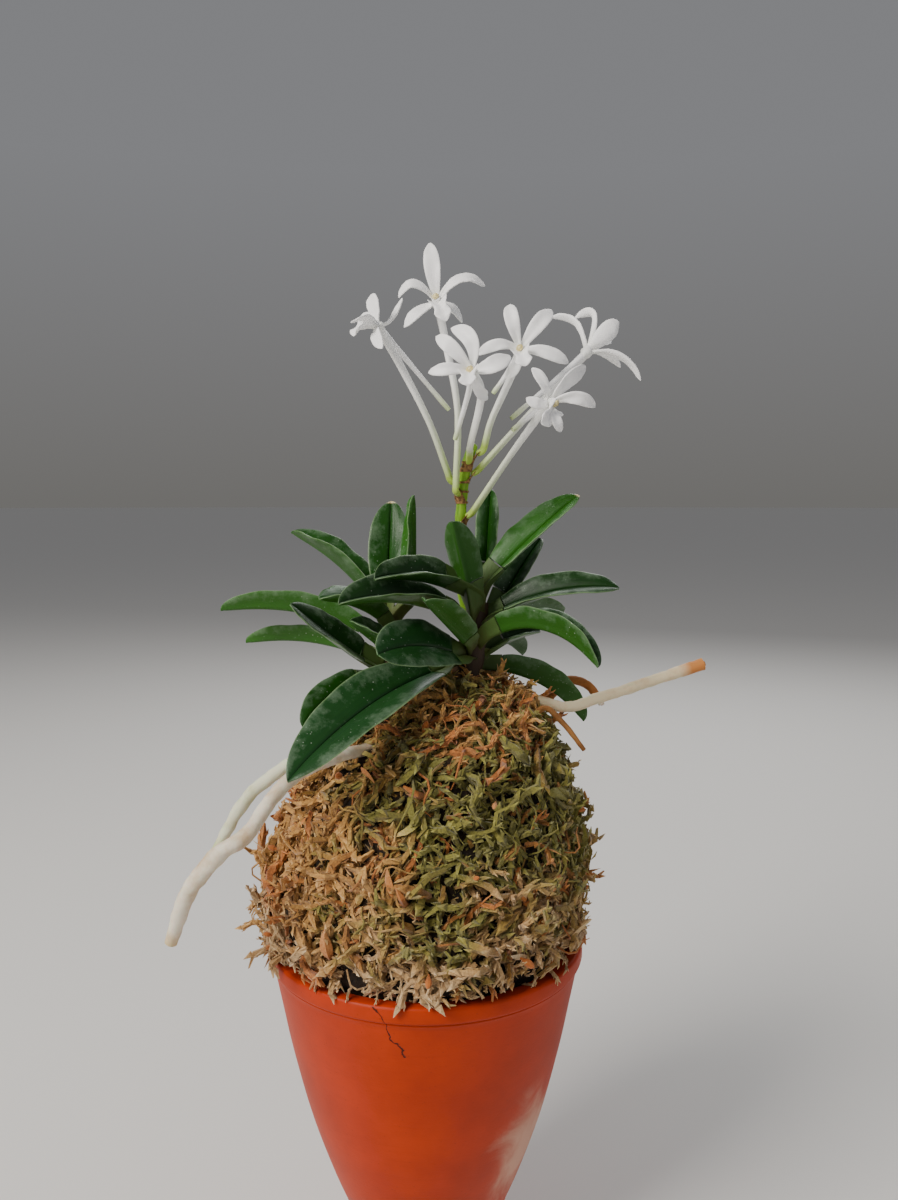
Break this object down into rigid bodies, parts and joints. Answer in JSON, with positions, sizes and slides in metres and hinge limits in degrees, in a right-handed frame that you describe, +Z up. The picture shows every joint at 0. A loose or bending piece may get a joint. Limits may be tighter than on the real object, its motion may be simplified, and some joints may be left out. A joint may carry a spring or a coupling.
{
  "type": "potted wind orchid",
  "caption": "Small white-flowered orchid with strap leaves and aerial roots, on a tall mound of moss in a tapered round clay pot.",
  "frame": {"origin": "centre of the pot's flat base, on the surface that it stands on", "axes": "+Z up the pot's axis, -Y towards the plant's front as pictured, +X to its right"},
  "size_m": [0.1357, 0.0968, 0.2794],
  "materials": {
    "terracotta": "satin",
    "sphagnum": "matte",
    "leaf": "satin",
    "leaf_sheath": "matte",
    "root": "matte",
    "flower_stalk": "satin",
    "flower": "satin"
  },
  "bodies": {
    "root": {"crown_left": "leaf_sheath", "crown_main": "leaf_sheath", "flower_1": "flower", "flower_2": "flower", "flower_3": "flower", "flower_4": "flower", "flower_5": "flower", "flower_6": "flower", "flower_stalk": "flower_stalk", "leaf_back": "leaf", "leaf_front_oval": "leaf", "leaf_front_small": "leaf", "leaf_left_low": "leaf", "leaf_left_second": "leaf", "leaf_left_top": "leaf", "leaf_right_arched": "leaf", "leaf_right_back": "leaf", "leaf_right_behind": "leaf", "leaf_right_droop": "leaf", "leaf_right_level": "leaf", "leaf_right_low": "leaf", "leaf_right_top": "leaf", "leaf_upright_back": "leaf", "leaf_upright_front": "leaf", "moss_mound": "sphagnum", "pot": "terracotta", "root_left_long": "root", "root_left_short": "root", "root_right_arched": "root", "root_right_long": "root", "root_right_thin": "root", "shoot_leaf_left_back": "leaf", "shoot_leaf_left_droop": "leaf", "shoot_leaf_left_front": "leaf", "shoot_leaf_left_long": "leaf", "shoot_leaf_left_short": "leaf", "shoot_leaf_left_top": "leaf", "shoot_leaf_shaded": "leaf", "shoot_leaf_upright_broad": "leaf", "shoot_leaf_upright_edge": "leaf"}
  },
  "joints": []
}
